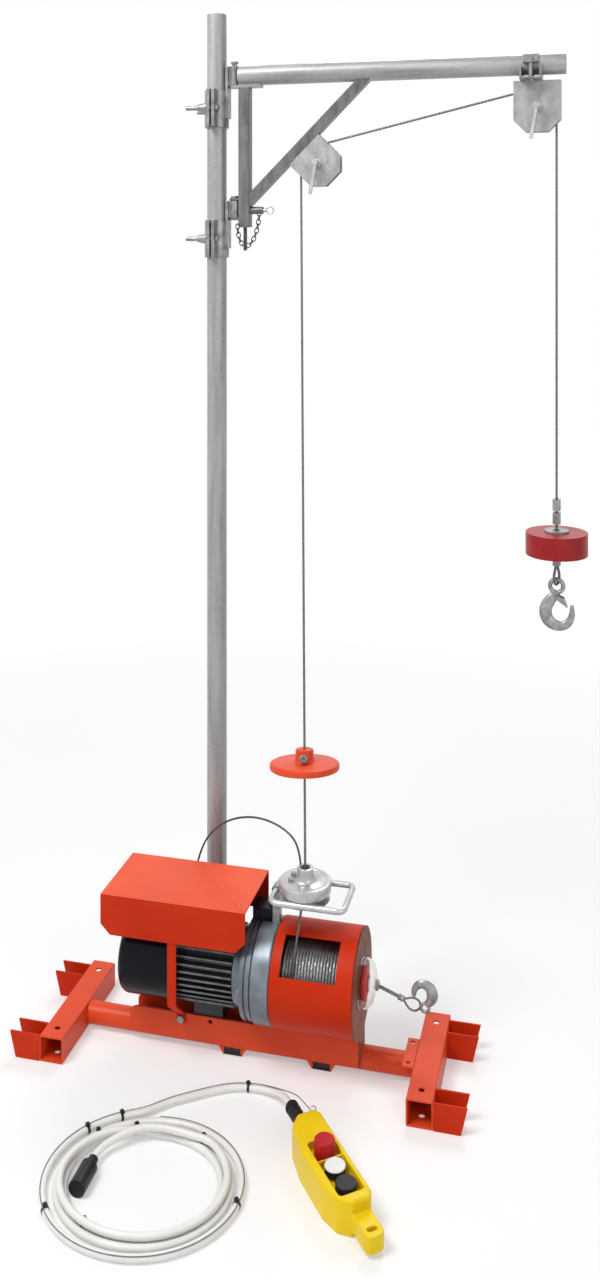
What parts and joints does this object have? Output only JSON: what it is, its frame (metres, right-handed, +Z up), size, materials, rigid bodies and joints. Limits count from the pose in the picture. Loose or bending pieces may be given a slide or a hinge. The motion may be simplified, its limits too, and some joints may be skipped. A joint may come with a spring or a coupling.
{
  "type": "jib_hoist",
  "caption": "Electric rope hoist on an orange ground frame with a swinging tube jib on a post, two rope pulleys, hook with counterweight and a push-button pendant",
  "frame": {"origin": "centre of the post's base plate on the floor", "axes": "+Z up along the post, +X along the jib arm towards the hook, -Y towards the viewer of the front"},
  "size_m": [1.1056, 0.83, 2.1],
  "materials": {
    "galvanised": "satin",
    "zinc_plate": "satin",
    "black_nylon": "matte",
    "wire_rope": "satin",
    "dark_red_paint": "gloss",
    "forged_steel": "satin",
    "orange_paint": "gloss",
    "black_rubber": "matte",
    "black_paint": "gloss",
    "copper_winding": "satin",
    "bright_steel": "satin",
    "cast_aluminium": "satin",
    "clear_plastic": "gloss",
    "black_cable": "satin",
    "yellow_plastic": "satin",
    "red_plastic": "gloss",
    "white_plastic": "gloss",
    "white_cable": "satin"
  },
  "bodies": {
    "stand": {"post": "galvanised", "post_clamps": "zinc_plate", "frame_bolts": "zinc_plate", "cross_beams": "orange_paint", "cradle_brackets": "orange_paint", "spine_tube": "orange_paint", "saddle_plates": "orange_paint", "foot_pads": "black_rubber", "motor_housing": "black_paint", "fan_cover": "black_paint", "stator": "copper_winding", "motor_flange": "cast_aluminium", "gearbox_housing": "cast_aluminium", "shaft_bearings": "bright_steel", "drum_cover": "orange_paint", "cover_end_plate": "bright_steel", "clear_dome": "clear_plastic", "roof": "orange_paint", "roof_straps": "orange_paint", "control_box": "black_paint", "switchgear": "black_nylon", "limit_switch": "black_paint", "switch_lead": "black_cable", "tether_hook": "forged_steel", "rope_rise": "wire_rope", "pendant_body": "yellow_plastic", "cable_gland": "black_nylon", "pendant_cable": "white_cable", "cable_coil": "white_cable", "cable_plug": "black_nylon"},
    "jib": {"jib_arm": "galvanised", "jib_upright": "galvanised", "hinge_pins": "zinc_plate", "jib_brace": "galvanised", "pulley_blocks": "galvanised", "tip_clamp": "zinc_plate", "lock_chain": "zinc_plate", "rope_run": "wire_rope"},
    "inner_wheel": {"pulley_inner": "black_nylon"},
    "tip_wheel": {"pulley_tip": "black_nylon"},
    "inner_axle": {"axle_pin_inner": "zinc_plate"},
    "tip_axle": {"axle_pin_tip": "zinc_plate"},
    "lock": {"lock_pin": "zinc_plate"},
    "hook_block": {"rope_fall": "wire_rope", "hook_rope": "wire_rope", "rope_clips": "zinc_plate", "counterweight": "dark_red_paint"},
    "hook": {"load_hook": "forged_steel"},
    "latch": {"hook_latch": "zinc_plate"},
    "stop": {"stop_disc": "orange_paint"},
    "motor_rotor": {"rotor": "bright_steel", "cooling_fan": "black_nylon"},
    "gear_shaft": {"layshaft": "bright_steel"},
    "rope_drum": {"drum": "bright_steel", "rope_windings": "wire_rope"},
    "bail": {"limit_bail": "zinc_plate", "guide_disc": "galvanised"},
    "estop": {"estop_button": "red_plastic"},
    "up_key": {"up_button": "white_plastic"},
    "down_key": {"down_button": "black_nylon"}
  },
  "joints": [
    {"name": "jib_swing", "type": "hinge", "parent": "stand", "child": "jib", "pos_m": [0.04, 0, 1.8], "axis": [0, 0, 1], "range_deg": [-45, 45]},
    {"name": "motor_spin", "type": "hinge", "parent": "stand", "child": "motor_rotor", "pos_m": [0.126, -0.19, 0.168], "axis": [1, 0, 0], "range_deg": [-9549.3, 1364.18]},
    {"name": "layshaft_spin", "type": "hinge", "parent": "stand", "child": "gear_shaft", "pos_m": [0.126, -0.19, 0.203], "axis": [1, 0, 0], "range_deg": [-333.52, 2334.32]},
    {"name": "drum_spin", "type": "hinge", "parent": "stand", "child": "rope_drum", "pos_m": [0.126, -0.19, 0.168], "axis": [1, 0, 0], "range_deg": [-636.64, 90.97]},
    {"name": "hook_travel", "type": "slide", "parent": "jib", "child": "hook_block", "axis": [0, 0, 1], "range_m": [-0.70002, 0.10002], "deforming": ["rope_fall"]},
    {"name": "stop_travel", "type": "slide", "parent": "stand", "child": "stop", "axis": [-0.0412, 0.1407, 0.9892], "range_m": [-0.10002, 0.70002]},
    {"name": "pulley_inner_spin", "type": "hinge", "parent": "jib", "child": "inner_wheel", "pos_m": [0.226, 0, 1.77431], "axis": [0, 1, 0], "range_deg": [-150.83, 1055.5]},
    {"name": "pulley_tip_spin", "type": "hinge", "parent": "jib", "child": "tip_wheel", "pos_m": [0.682, 0, 1.88], "axis": [0, 1, 0], "range_deg": [-150.83, 1055.5]},
    {"name": "hook_swing", "type": "hinge", "parent": "hook_block", "child": "hook", "pos_m": [0.72, 0.0029, 0.9165], "axis": [0, 1, 0], "range_deg": [-35, 35]},
    {"name": "latch_swing", "type": "hinge", "parent": "hook", "child": "latch", "pos_m": [0.7195, 0.0029, 0.8895], "axis": [0, 1, 0], "range_deg": [0, 25], "stiffness_Nm_per_rad": 0.05, "springref_deg": -14.32},
    {"name": "bail_tilt", "type": "hinge", "parent": "stand", "child": "bail", "pos_m": [0.187, -0.19, 0.33], "axis": [0, 1, 0], "range_deg": [0, 3], "stiffness_Nm_per_rad": 30, "springref_deg": -3.44},
    {"name": "axle_inner_turn", "type": "hinge", "parent": "jib", "child": "inner_axle", "pos_m": [0.226, 0, 1.77431], "axis": [0, 1, 0], "range_deg": [-90, 90]},
    {"name": "axle_tip_turn", "type": "hinge", "parent": "jib", "child": "tip_axle", "pos_m": [0.682, 0, 1.88], "axis": [0, 1, 0], "range_deg": [-90, 90]},
    {"name": "lock_pull", "type": "slide", "parent": "jib", "child": "lock", "axis": [1, 0, 0], "range_m": [0, 0.02], "stiffness_N_per_m": 300, "springref_m": -0.006},
    {"name": "estop_press", "type": "slide", "parent": "stand", "child": "estop", "axis": [0, 0, -1], "range_m": [0, 0.004], "stiffness_N_per_m": 600, "springref_m": -0.004},
    {"name": "up_press", "type": "slide", "parent": "stand", "child": "up_key", "axis": [0, 0, -1], "range_m": [0, 0.004], "stiffness_N_per_m": 400, "springref_m": -0.004},
    {"name": "down_press", "type": "slide", "parent": "stand", "child": "down_key", "axis": [0, 0, -1], "range_m": [0, 0.004], "stiffness_N_per_m": 400, "springref_m": -0.004}
  ],
  "couplings": [
    {"joint": "layshaft_spin", "follows": "motor_spin", "ratio": -0.24444},
    {"joint": "drum_spin", "follows": "motor_spin", "ratio": 0.066667},
    {"joint": "hook_travel", "follows": "motor_spin", "m_per_rad": 0.0042},
    {"joint": "stop_travel", "follows": "motor_spin", "m_per_rad": -0.0042},
    {"joint": "pulley_inner_spin", "follows": "motor_spin", "ratio": -0.11053},
    {"joint": "pulley_tip_spin", "follows": "motor_spin", "ratio": -0.11053}
  ]
}
